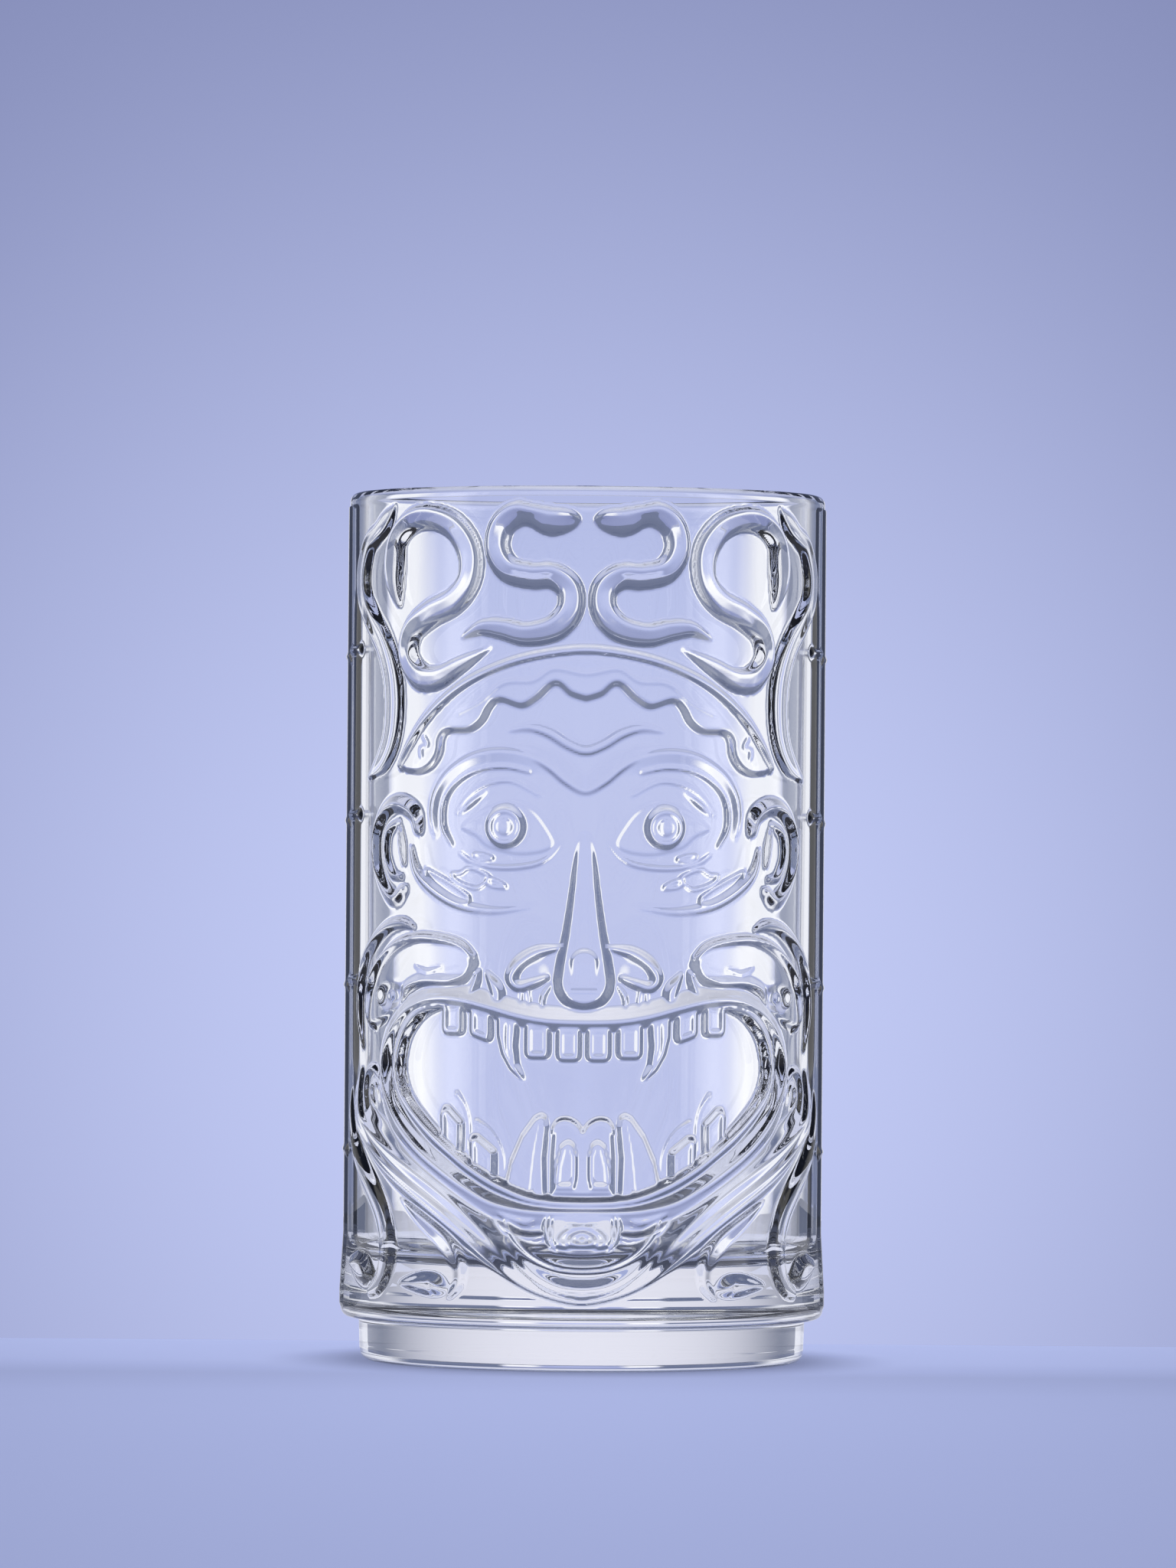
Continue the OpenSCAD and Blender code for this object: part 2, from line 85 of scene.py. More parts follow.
def smooth_line(points, closed=False, spacing=0.5):
    """A Catmull-Rom curve through the given points, with about that spacing."""
    p = np.array(points, float)
    n = len(p)
    out = []
    for i in range(n if closed else n - 1):
        if closed:
            a, b, c, d = (p[(i + k) % n] for k in (-1, 0, 1, 2))
        else:
            a, b, c, d = (p[min(max(i + k, 0), n - 1)] for k in (-1, 0, 1, 2))
        steps = max(int(math.hypot(*(c - b)[:2]) / spacing), 1)
        for t in np.arange(steps) / steps:
            out.append(0.5 * (2 * b + (c - a) * t + (2 * a - 5 * b + 4 * c - d) * t * t
                              + (3 * b - a - 3 * c + d) * t ** 3))
    if not closed:
        out.append(p[-1])
    return np.array(out)


def over_middle(points):
    """A line with an end on the middle of the face, carried on past it by its mirror image."""
    mirrored = [(-p[0],) + tuple(p[1:]) for p in points]
    head = mirrored[2:0:-1] if points[0][0] == 0 else []
    tail = mirrored[-2:-4:-1] if points[-1][0] == 0 else []
    return head + list(points) + tail


def smoothstep(x):
    """Rises from 0 to 1 while x does, with soft ends."""
    x = np.clip(x, 0, 1)
    return x * x * (3 - 2 * x)


class Relief:
    """The height of the relief over one quarter of the wall."""

    def __init__(self, us, zs):
        self.us = us
        self.zs = zs
        self.h = np.zeros((len(zs), len(us)))

    def window(self, low, high):
        """Row and column slices of the grid between two corners, and the grid there."""
        rows = slice(*np.searchsorted(self.zs, (low[1], high[1])))
        cols = slice(*np.searchsorted(self.us, (low[0], high[0])))
        u, z = np.meshgrid(self.us[cols], self.zs[rows])
        return rows, cols, u, z

    def nearest(self, line, closed, reach):
        """At each grid point near a line: how many half widths away it is, on which side, the height
        of the line there, and how far above the line it lies."""
        share = np.full(self.h.shape, FAR)
        side = np.zeros(self.h.shape)
        height = np.zeros(self.h.shape)
        rise = np.zeros(self.h.shape)
        ends = np.roll(line, -1, axis=0) if closed else line[1:]
        for a, b in zip(line, ends):
            around = max(a[2], b[2]) * reach
            rows, cols, u, z = self.window(np.minimum(a, b)[:2] - around, np.maximum(a, b)[:2] + around)
            along = b - a
            size = max(along[0] ** 2 + along[1] ** 2, 1e-9)
            t = np.clip(((u - a[0]) * along[0] + (z - a[1]) * along[1]) / size, 0, 1)
            du, dz = u - a[0] - t * along[0], z - a[1] - t * along[1]
            w = np.maximum(a[2] + t * along[2], THINNEST)
            s = np.hypot(du, dz) / w
            closer = s < share[rows, cols]
            cross = np.sign(along[0] * dz - along[1] * du)
            share[rows, cols] = np.where(closer, s, share[rows, cols])
            side[rows, cols] = np.where(closer, cross, side[rows, cols])
            height[rows, cols] = np.where(closer, a[3] + t * along[3], height[rows, cols])
            rise[rows, cols] = np.where(closer, np.clip(dz / w, -1, 1), rise[rows, cols])
        return share, side, height, rise

    def ridge(self, points, flat=0.0, reeds=0, reed_depth=0.25, closed=False, add=False, lean=(1, 1),
              tilt=0.0, round_top=False):
        """A ridge along a line of (u, z, half width, height) points. flat is how much of its half
        width its crown takes, and reeds cuts it into that many strands side by side. lean scales
        its left and right flanks, seen along the line, and tilt moves its crest up the wall."""
        line = smooth_line(over_middle(points), closed)
        share, side, height, rise = self.nearest(line, closed, MARGIN * max(lean))
        share = share / np.where(side > 0, lean[0], lean[1])
        t = np.clip((share - flat) / (1 - flat), 0, 1)
        shape = height * (np.sqrt(1 - t * t) if round_top else 1 - t) * (1 + tilt * rise)
        if reeds:
            across = share * side
            shape = shape * (1 - reed_depth * (0.5 + 0.5 * np.cos(math.pi * (across + 1) * reeds)))
        self.h = self.h + shape if add else np.maximum(self.h, shape)

    def groove(self, points):
        """A soft furrow along a line of (u, z, half width, depth) points."""
        share, _, depth, _ = self.nearest(smooth_line(over_middle(points)), False, MARGIN)
        self.h = self.h - depth * np.cos(np.clip(share, 0, 1) * math.pi / 2) ** 2

    def plate(self, outline, height, bevel, inset=0.0, smooth=False):
        """A raised area with a bevelled edge. inset sinks its middle, inside a rim, and smooth
        rounds its outline."""
        p = np.array(outline, float)
        if smooth:
            p = smooth_line(p, closed=True)
        border = 0.5
        rim = 1.0
        rows, cols, u, z = self.window(p.min(0) - border, p.max(0) + border)
        inside = np.zeros(u.shape, bool)
        depth = np.full(u.shape, FAR)
        for a, b in zip(p, np.roll(p, -1, axis=0)):
            along = b - a
            t = np.clip(((u - a[0]) * along[0] + (z - a[1]) * along[1]) / max(along @ along, 1e-9), 0, 1)
            depth = np.minimum(depth, np.hypot(u - a[0] - t * along[0], z - a[1] - t * along[1]))
            if a[1] != b[1]:
                crosses = (a[1] > z) != (b[1] > z)
                inside ^= crosses & (u < a[0] + (z - a[1]) * along[0] / along[1])
        depth = np.where(inside, depth, 0)
        shape = height * np.clip(depth / bevel, 0, 1)
        shape -= inset * smoothstep((depth - rim) / 0.5)
        self.h[rows, cols] = np.maximum(self.h[rows, cols], shape)

    def dome(self, u0, z0, ru, rz, height):
        """A low oval swelling, added to what is there. A negative height sinks it."""
        u, z = np.meshgrid(self.us, self.zs)
        t = np.clip(((u - u0) / ru) ** 2 + ((z - z0) / rz) ** 2, 0, 1)
        self.h += height * (1 - t) ** 2


def draw_crown(r):
    """The snakes of the hair, above and beside the head band."""
    r.ridge([(1.4, 142.3, 0.3, 0.3), (3.4, 142.2, 1.7, 1.1), (6.2, 142.0, 2.3, 1.5),
             (9.4, 143.0, 1.8, 1.4), (12.4, 143.1, 2.1, 1.45), (15.0, 140.9, 2.1, 1.45),
             (15.6, 137.2, 2.1, 1.45), (13.6, 134.0, 2.1, 1.45), (9.6, 132.9, 2.1, 1.45),
             (5.6, 132.8, 2.1, 1.45), (2.9, 130.6, 2.1, 1.45), (2.9, 127.0, 2.1, 1.45),
             (5.6, 124.1, 2.1, 1.45), (10.2, 123.1, 1.9, 1.3), (14.5, 124.0, 1.7, 1.1),
             (18.4, 124.2, 1.2, 0.8), (22.2, 122.6, 0.3, 0.2)], flat=0.35, tilt=0.45, round_top=True)
    r.ridge([(36.7, 128.4, 0.6, 0.5), (37.6, 131.6, 2.0, 1.4), (37.7, 135.4, 2.5, 1.6),
             (36.8, 139.4, 2.0, 1.5), (33.4, 142.2, 2.0, 1.5), (28.8, 142.9, 2.0, 1.5),
             (24.0, 141.3, 2.2, 1.3), (20.9, 137.3, 2.3, 1.3), (20.8, 132.4, 2.1, 1.45),
             (23.8, 128.8, 2.2, 1.3), (28.8, 126.6, 2.2, 1.3), (33.0, 123.8, 2.2, 1.3),
             (34.0, 119.6, 2.1, 1.45), (31.2, 116.2, 2.2, 1.3), (27.0, 115.9, 1.8, 1.2),
             (22.5, 118.0, 1.3, 0.9), (17.0, 120.8, 0.3, 0.2)], flat=0.4, tilt=0.3, round_top=True)
    r.ridge([(38.3, 144.7, 0.4, 0.29), (40.8, 142.2, 1.9, 0.86), (43.6, 140.4, 1.9, 0.94),
             (46.8, 138.6, 2.2, 0.94), (49.0, 134.0, 2.6, 1.01), (48.4, 129.6, 2.6, 1.01),
             (45.2, 126.0, 2.6, 1.01), (41.2, 122.0, 2.6, 1.01), (38.6, 117.0, 2.7, 1.01),
             (37.8, 111.5, 2.7, 1.01), (38.6, 106.0, 2.5, 0.94), (41.3, 102.0, 2.0, 0.79),
             (46.2, 99.3, 0.4, 0.29)], flat=0.4, reeds=2, reed_depth=0.12, round_top=True)


def draw_band(r):
    """The head band, with its scalloped lower edge, and the crease under it."""
    top = [(0, 120.4), (9, 119.3), (16.4, 117.0), (23, 113.7), (29, 109.0), (33.2, 104.5), (36.0, 100.8)]
    edge = [(34.0, 99.9), (30.6, 99.8), (28.0, 100.8), (26.2, 103.0), (25.7, 105.6), (24.4, 106.6),
            (20.3, 106.8), (17.8, 108.4), (16.4, 110.7), (14.8, 111.8), (10.9, 110.8), (8.0, 112.3),
            (5.2, 114.6), (2.8, 112.9), (0, 112.0)]
    outline = smooth_line(over_middle(top)[2:])[:, :2].tolist() + smooth_line(edge).tolist()
    outline += [(-3, 113.0), (-3, 120.2)]
    r.plate(outline, 0.8, 0.8)
    r.ridge([(0, 120.5, 1.0, 1.3), (9, 119.4, 1.0, 1.3), (16.5, 117.1, 1.0, 1.3), (23, 113.8, 1.1, 1.3),
             (29, 109.1, 1.2, 1.4), (33, 104.7, 1.2, 1.4), (35.6, 101.2, 0.9, 1.1)], flat=0.35)
    r.ridge([(0, 116.6, 0.35, 0.15), (5.4, 117.4, 0.35, 0.15), (9.0, 115.4, 0.35, 0.15),
             (14.0, 115.0, 0.35, 0.15), (18.4, 111.8, 0.35, 0.15), (22.6, 109.9, 0.35, 0.15)], add=True)
    r.ridge([(29.6, 106.2, 0.35, 0.2), (28.6, 104.6, 0.35, 0.2), (30.2, 104.0, 0.35, 0.2),
             (30.0, 102.8, 0.35, 0.2)], add=True)
    r.ridge([(0, 103.8, 0.9, 0.4), (3, 104.8, 0.9, 0.4), (6.2, 106.7, 0.9, 0.4),
             (9.6, 107.6, 0.7, 0.3), (13.2, 107.1, 0.25, 0.15)], flat=0.5)


def draw_eyes(r):
    """Brows, lids, irises and the bags under the eyes."""
    r.ridge([(0, 96.9, 0.6, 0.35), (3.2, 98.4, 0.6, 0.5), (6.2, 100.8, 0.6, 0.5), (9.2, 102.4, 0.5, 0.35),
             (12, 103.0, 0.4, 0.1)], lean=(4.5, 1.0))
    r.ridge([(7.0, 101.6, 0.5, 0.1), (10.0, 103.0, 0.7, 0.4), (15, 103.7, 0.7, 0.5), (20, 102.8, 0.7, 0.5),
             (24.6, 100.2, 0.7, 0.5), (27.4, 96.8, 0.7, 0.5), (28.3, 93.4, 0.6, 0.4),
             (28.0, 90.4, 0.4, 0.2)], lean=(1.0, 4.0))
    for line in ([(9.6, 100.2, 0.4, 0.32), (13.6, 101.0, 0.4, 0.48), (18.0, 100.7, 0.4, 0.48),
                  (21.8, 99.2, 0.4, 0.48), (24.8, 96.6, 0.4, 0.48), (25.9, 93.4, 0.5, 0.64),
                  (25.6, 90.6, 0.5, 0.64), (24.0, 88.0, 0.4, 0.32)],
                 [(8.0, 96.4, 0.3, 0.24), (12.6, 98.6, 0.3, 0.32), (17.0, 98.2, 0.3, 0.4),
                  (20.6, 96.2, 0.3, 0.4), (23.2, 93.2, 0.3, 0.24)],
                 [(17.4, 96.8, 0.3, 0.16), (20.2, 94.9, 0.6, 0.56), (22.4, 93.2, 0.3, 0.16)]):
        r.ridge(line, add=True)
    lid = [(5.2, 88.0), (6.9, 91.4), (9.4, 94.0), (13.4, 95.2), (17.6, 93.9), (22.3, 91.0),
           (19.4, 89.3), (16.8, 87.4), (12.0, 86.3), (7.6, 86.6)]
    r.plate(lid, 0.22, 0.45, smooth=True)
    iris_u, iris_z = 13.7, 91.0
    iris_r, ring_r, pupil_r = 3.6, 2.5, 1.5
    u, z = np.meshgrid(r.us, r.zs)
    away = np.hypot(u - iris_u, z - iris_z)
    r.h += 0.85 * np.clip((iris_r - away) / 0.7, 0, 1)
    r.h -= 0.25 * np.clip((ring_r - away) / 0.4, 0, 1)
    r.h += 0.35 * np.sqrt(np.clip(1 - (away / pupil_r) ** 2, 0, 1))
    for line in ([(33.0, 87.4, 0.5, 0.3), (31.6, 83.6, 0.9, 0.5), (28.0, 80.6, 1.1, 0.6),
                  (22.6, 78.0, 1.0, 0.5), (16, 77.0, 0.8, 0.3), (9.5, 77.6, 0.3, 0.15)],
                 [(22.4, 86.6, 0.4, 0.2), (19.6, 85.0, 0.5, 0.3), (14.4, 84.2, 0.5, 0.35),
                  (9.0, 84.7, 0.5, 0.35), (6.2, 86.0, 0.4, 0.3), (4.4, 88.0, 0.3, 0.2)]):
        r.ridge(line, flat=0.3)
    for leaf in ([(29.6, 83.7), (26.6, 82.6), (23.2, 81.0), (20.6, 79.3), (20.4, 78.4), (23.0, 78.5),
                  (26.4, 80.2), (28.6, 82.0)],
                 [(16.6, 82.4), (18.4, 83.6), (20.6, 84.1), (22.2, 83.2), (24.0, 83.0), (22.4, 81.6),
                  (19.2, 80.7), (18.0, 81.2)],
                 [(13.6, 80.9), (15.4, 82.0), (17.2, 82.2), (16.4, 81.2)],
                 [(16.0, 85.7), (17.8, 86.3), (19.7, 86.4), (18.4, 85.5)]):
        r.ridge([(u0, z0, 0.35, 0.45) for u0, z0 in leaf], closed=True)


def draw_ears(r):
    """An ear: its rim and the two folds inside it."""
    r.ridge([(31.4, 90.6, 1.3, 0.9), (32.4, 93.2, 1.8, 1.2), (36.2, 94.6, 1.8, 1.35),
             (40.3, 93.2, 1.6, 1.27), (42.8, 89.6, 1.5, 1.2), (42.7, 85.0, 1.5, 1.2),
             (40.4, 81.2, 1.5, 1.12), (37.2, 79.0, 1.6, 1.12), (35.0, 80.4, 1.2, 0.9)], flat=0.1,
            lean=(1.1, 0.8))
    r.ridge([(36.5, 91.6, 0.7, 0.68), (39.2, 90.0, 0.9, 0.9), (39.8, 86.4, 0.9, 0.9),
             (38.0, 83.0, 0.9, 0.83), (35.6, 82.4, 0.6, 0.6)])
    r.ridge([(36.0, 90.6, 0.6, 0.6), (35.3, 87.6, 1.0, 0.9), (34.9, 84.8, 0.6, 0.6)])


def draw_nose(r):
    """Nose with its tip and wings, and the folds and short lines above the lip."""
    r.ridge([(0, 65.3, 5.3, 1.75), (0, 68.5, 4.7, 1.75), (0, 72, 3.9, 1.6), (0, 76, 3.2, 1.4),
             (0, 80, 2.6, 1.15), (0, 84, 2.1, 0.75), (0, 87, 1.6, 0.35), (0, 89, 1.0, 0.1)], flat=0.68)
    r.ridge([(0, 68.4, 2.3, 0.45), (0, 66.6, 2.2, 0.2), (0, 64.8, 2.2, 0.0)], flat=0.85, add=True)
    r.ridge([(0, 63.7, 0.5, 0.25), (2.2, 63.7, 0.5, 0.25)], add=True)
    r.ridge([(0, 62.3, 0.3, 0.15), (1.9, 62.3, 0.3, 0.15)], add=True)
    r.ridge([(4.4, 70.9, 0.5, 0.5), (8.0, 70.1, 1.2, 0.9), (11.0, 68.3, 1.4, 1.0),
             (12.4, 65.9, 1.3, 1.0), (11.2, 64.4, 1.1, 0.9), (8.8, 64.9, 1.0, 0.8),
             (6.4, 65.8, 0.6, 0.6)], flat=0.25)
    r.dome(9.0, 67.0, 4.0, 3.0, 0.5)
    r.plate([(14.3, 65.0), (13.6, 63.4), (13.9, 61.6), (15.6, 61.1), (16.5, 63.6), (17.4, 67.1),
             (15.7, 66.2)], 0.8, 0.8, smooth=True)
    r.plate([(18.0, 67.2), (18.2, 64.8), (19.2, 63.0), (21.0, 62.7), (19.9, 65.0), (19.0, 67.0)],
            0.7, 0.7, smooth=True)
    for line in ([(5.8, 64.6, 0.4, 0.5), (7.0, 62.6, 0.5, 0.6), (7.0, 60.4, 0.4, 0.5)],
                 [(9.6, 63.6, 0.3, 0.4), (9.4, 61.8, 0.4, 0.5), (9.4, 60.2, 0.3, 0.4)],
                 [(10.9, 63.4, 0.3, 0.4), (10.9, 61.8, 0.4, 0.5), (11.0, 60.4, 0.3, 0.4)]):
        r.ridge(line)


def draw_cheeks(r):
    """Cheek, with its raised edges and the hollow in its lower end, and two curls outside it."""
    r.plate([(18.8, 68.6), (20.8, 71.2), (25, 72.8), (31, 73.2), (37, 71.8), (42, 68.4), (45.2, 63.6),
             (46, 58.6), (44.4, 56.8), (41, 57.4), (37.5, 58.6), (34.6, 60.2), (33.2, 62.2), (30, 63.6),
             (25, 63.8), (21.4, 64.6), (19.4, 66.4)], 0.9, 1.0, smooth=True)
    r.ridge([(19.6, 69.4, 0.6, 1.0), (21.6, 71.2, 0.6, 1.4), (25.2, 72.2, 0.6, 1.7), (30.6, 72.5, 0.7, 1.8),
             (36.2, 71.2, 0.8, 1.8), (40.8, 68.2, 0.9, 1.8), (43.9, 64.0, 0.9, 1.7), (44.9, 59.6, 0.8, 1.4),
             (44.0, 57.6, 0.5, 1.0)], lean=(1.0, 3.4))
    r.ridge([(20.8, 66.0, 0.6, 1.1), (24, 65.0, 0.8, 1.4), (29, 65.0, 0.9, 1.5), (33, 63.8, 0.8, 1.4),
             (35, 61.4, 0.7, 1.2)], lean=(4.5, 1.0))
    r.dome(36.8, 62.4, 4.6, 3.0, -1.0)
    r.dome(37.8, 62.4, 1.3, 1.1, 0.4)
    r.ridge([(31.0, 67.6, 0.3, 0.15), (28.4, 66.7, 0.5, 0.35), (25.4, 67.3, 0.3, 0.2)], add=True)
    r.ridge([(32.3, 74.0, 0.5, 0.5), (35.0, 74.7, 1.1, 0.9), (39.5, 73.8, 1.2, 1.0),
             (44.2, 71.0, 1.2, 1.0), (48.2, 67.4, 1.0, 0.8), (49.8, 63.0, 0.4, 0.4)], flat=0.2)
    r.ridge([(45.4, 69.4, 0.5, 0.5), (48.4, 65.0, 1.2, 0.9), (49.0, 59.4, 1.2, 0.9),
             (47.8, 53.6, 0.6, 0.5)], flat=0.2)


def tooth_outline(left, right, low, high, tilt=0.0):
    """A tooth that hangs down, with its lower corners rounded off and its cutting edge tilted."""
    corner_w, corner_h = 1.0, 1.1
    bend_w, bend_h = 0.3, 0.35
    return [(left, high), (left, low + corner_h), (left + bend_w, low + bend_h), (left + corner_w, low),
            (right - corner_w, low + tilt), (right - bend_w, low + bend_h + tilt),
            (right, low + corner_h + tilt), (right, high + tilt)]


def draw_mouth(r):
    """Lips, teeth and fangs."""
    for outline in (tooth_outline(0.3, 4.7, 51.8, 58.0), tooth_outline(5.5, 10.1, 52.2, 58.6),
                    tooth_outline(15.7, 20.1, 54.9, 60.4, 0.8), tooth_outline(21.0, 25.6, 56.0, 61.8)):
        r.plate(outline, 0.75, 0.6, inset=0.2)
    r.plate([(10.9, 59.0), (11.3, 54.5), (11.0, 51.5), (10.2, 49.6), (9.9, 48.6), (10.8, 48.8), (12.6, 50.3),
             (14.2, 53.0), (15.0, 56.0), (15.1, 60.0)], 0.7, 0.6)
    r.groove([(12.9, 58.0, 0.5, 0.3), (12.9, 54.2, 0.5, 0.3), (11.9, 51.2, 0.3, 0.2)])
    for outline in ([(14.9, 31.0), (14.8, 36.9), (18.4, 39.6), (19.6, 39.5), (20.0, 38.6), (19.9, 33.6)],
                    [(21.3, 34.6), (21.1, 41.6), (23.9, 44.2), (25.2, 44.3), (25.9, 43.0), (25.8, 37.6)]):
        r.plate(outline, 0.8, 0.75, inset=0.2)
    r.plate([(6.0, 29.4), (6.2, 36.0), (5.7, 41.0), (6.1, 42.8), (7.1, 43.4), (8.4, 42.7), (10.6, 39.7),
             (12.5, 35.4), (13.5, 31.0), (13.6, 29.6)], 0.6, 0.6)
    r.groove([(6.9, 42.4, 0.3, 0.15), (7.9, 37.0, 0.4, 0.2), (8.6, 30.4, 0.4, 0.2)])
    r.plate([(-1, 39.6), (0.2, 40.2), (1.0, 41.7), (2.6, 42.5), (4.3, 42.2), (5.2, 40.6), (5.5, 36.0),
             (5.6, 29.4), (-1, 29.4)], 0.6, 0.7)
    r.plate([(0.5, 36.2), (1.2, 38.5), (2.5, 39.3), (4.0, 38.2), (4.9, 34.6), (5.2, 30.2), (1.0, 30.2),
             (0.5, 33.0)], 1.0, 0.6, inset=0.2)
    r.ridge([(0, 39.9, 0.7, 0.8), (1.0, 41.3, 0.7, 0.9), (2.6, 42.2, 0.7, 0.9), (4.2, 41.9, 0.7, 0.9),
             (5.2, 40.4, 0.5, 0.7)], lean=(0.5, 2.0))
    for line in ([(22.6, 46.4, 0.4, 0.4), (21.0, 44.2, 0.3, 0.25), (20.2, 41.5, 0.3, 0.25),
                  (20.1, 38.0, 0.3, 0.25), (20.4, 35.4, 0.3, 0.2)],
                 [(18.7, 41.8, 0.4, 0.4), (16.6, 40.6, 0.3, 0.25), (14.9, 38.6, 0.3, 0.25),
                  (13.9, 36.0, 0.3, 0.25), (13.7, 33.6, 0.3, 0.2)]):
        r.ridge(line)
    cord = [(0, 58.5, 1.0, 1.4), (6, 58.7, 1.0, 1.4), (11, 59.5, 1.0, 1.4), (16, 60.8, 1.0, 1.5),
            (21, 61.9, 1.0, 1.5), (26, 62.2, 1.0, 1.6), (30, 61.3, 1.0, 1.7), (33.6, 59.3, 1.0, 1.8),
            (36.4, 56.5, 1.0, 1.8), (38.2, 53.3, 1.0, 1.8), (38.7, 50.0, 1.0, 1.8), (37.9, 46.6, 1.1, 1.8),
            (36.0, 43.2, 1.2, 1.8), (33.2, 40.0, 1.3, 1.8), (29.6, 36.9, 1.3, 1.8), (25.2, 33.9, 1.3, 1.8),
            (20.4, 30.9, 1.2, 1.7), (15.5, 28.4, 1.1, 1.6), (10, 27.2, 1.0, 1.5), (5, 26.9, 1.0, 1.4),
            (0, 26.9, 1.0, 1.4)]
    r.ridge(cord, flat=0.12, lean=(2.6, 1.9), reeds=3, reed_depth=0.07)
    inner = [(24.6, 61.0, 0.4, 0.9), (28.5, 60.2, 0.7, 1.3), (31.3, 58.4, 0.8, 1.6), (33.4, 55.8, 0.8, 1.7),
             (34.5, 52.8, 0.8, 1.7), (34.7, 49.8, 0.8, 1.7), (33.7, 46.8, 0.8, 1.7), (31.8, 44.3, 0.8, 1.7),
             (29.3, 41.9, 0.8, 1.7), (26.4, 39.4, 0.8, 1.6), (23.2, 36.9, 0.7, 1.5), (19, 34.0, 0.7, 1.5),
             (14, 31.3, 0.7, 1.4), (8, 29.2, 0.7, 1.4), (0, 28.6, 0.7, 1.4)]
    r.ridge(inner, flat=0.3, lean=(2.9, 0.9))


def draw_chin(r):
    """Chin, jaw bands and the curls of the beard."""
    r.plate([(-9, 27.4), (4.9, 27.4), (5.6, 26.4), (5.6, 22.4), (4.8, 20.6), (-9, 20.6)], 1.1, 0.8)
    ripple_z, ripple_step, ripple_reach, ripple_depth = 22.4, 1.05, 2.9, 0.16
    u, z = np.meshgrid(r.us, r.zs)
    away = np.hypot(u / 1.75, z - ripple_z + 0.10 * np.abs(u))
    fade = smoothstep((ripple_reach - away) / 0.8)
    r.h += ripple_depth * np.cos(away * 2 * math.pi / ripple_step) * fade
    r.ridge([(4.4, 20.4, 0.3, 0.5), (5.5, 22.0, 0.6, 1.3), (6.0, 24.4, 0.8, 1.6), (5.7, 26.6, 0.6, 1.4)])
    for line in ([(0, 26.2, 0.7, 1.3), (2.4, 26.1, 0.7, 1.3), (4.8, 26.6, 0.3, 1.0)],
                 [(0, 24.7, 0.6, 1.3), (2.4, 24.7, 0.6, 1.3), (4.6, 25.0, 0.3, 1.0)],
                 [(6.8, 25.9, 0.5, 0.7), (10, 25.4, 0.9, 1.0), (14.5, 26.9, 0.9, 1.1),
                  (17.0, 28.6, 0.4, 0.6)],
                 [(6.4, 23.0, 0.5, 0.7), (9.4, 22.7, 0.9, 1.0), (12.8, 23.9, 0.8, 1.0),
                  (15.0, 25.6, 0.4, 0.5)],
                 [(5.8, 20.9, 0.4, 0.5), (8.4, 20.7, 0.8, 0.9), (11.2, 21.8, 0.7, 0.8)]):
        r.ridge(line, lean=(0.9, 1.6))
    r.ridge([(0, 17.6, 1.0, 1.2), (4.6, 18.1, 1.0, 1.2), (8.8, 20.0, 1.0, 1.2), (11.8, 23.0, 0.9, 1.1),
             (13.6, 26.4, 0.4, 0.6)], lean=(1.8, 1.1))
    r.ridge([(0, 13.7, 1.0, 1.0), (4.0, 14.2, 1.0, 1.0), (7.6, 15.9, 1.0, 1.0), (10.4, 18.4, 0.9, 1.0),
             (13.0, 22.2, 0.4, 0.6)], flat=0.2, lean=(2.2, 0.9))
    jaw = [(48.6, 49.6, 0.8, 0.4), (49.4, 47.0, 2.0, 0.7), (49.2, 43.8, 2.6, 1.0), (47.8, 41.0, 3.2, 1.3),
           (45.0, 38.6, 4.0, 1.4), (41.4, 36.2, 4.6, 1.5), (37.2, 33.6, 5.0, 1.5), (32.6, 31.0, 5.2, 1.5),
           (28.0, 28.4, 5.2, 1.5), (23.4, 25.4, 5.0, 1.4), (19.0, 22.2, 4.4, 1.4), (14.8, 18.8, 3.4, 1.3),
           (10.6, 15.6, 2.4, 1.2), (6, 13.2, 1.4, 1.1), (0, 11.9, 1.0, 1.1)]
    r.ridge(jaw, flat=0.45, lean=(0.5, 1.25), reeds=5, reed_depth=0.1)
    r.ridge([(40.6, 45.8, 0.6, 0.48), (41.3, 48.6, 0.8, 0.66), (43.4, 50.1, 0.8, 0.72),
             (45.6, 49.2, 0.9, 0.72), (46.4, 46.4, 0.9, 0.72), (45.6, 43.4, 0.9, 0.72),
             (43.2, 41.2, 0.9, 0.72), (40.0, 39.4, 0.8, 0.66), (36.6, 37.4, 0.5, 0.48)])
    r.ridge([(41.8, 44.8, 0.4, 0.36), (42.4, 47.2, 0.6, 0.54), (43.9, 47.6, 0.6, 0.54),
             (44.3, 45.6, 0.6, 0.54), (42.9, 43.9, 0.4, 0.36)])


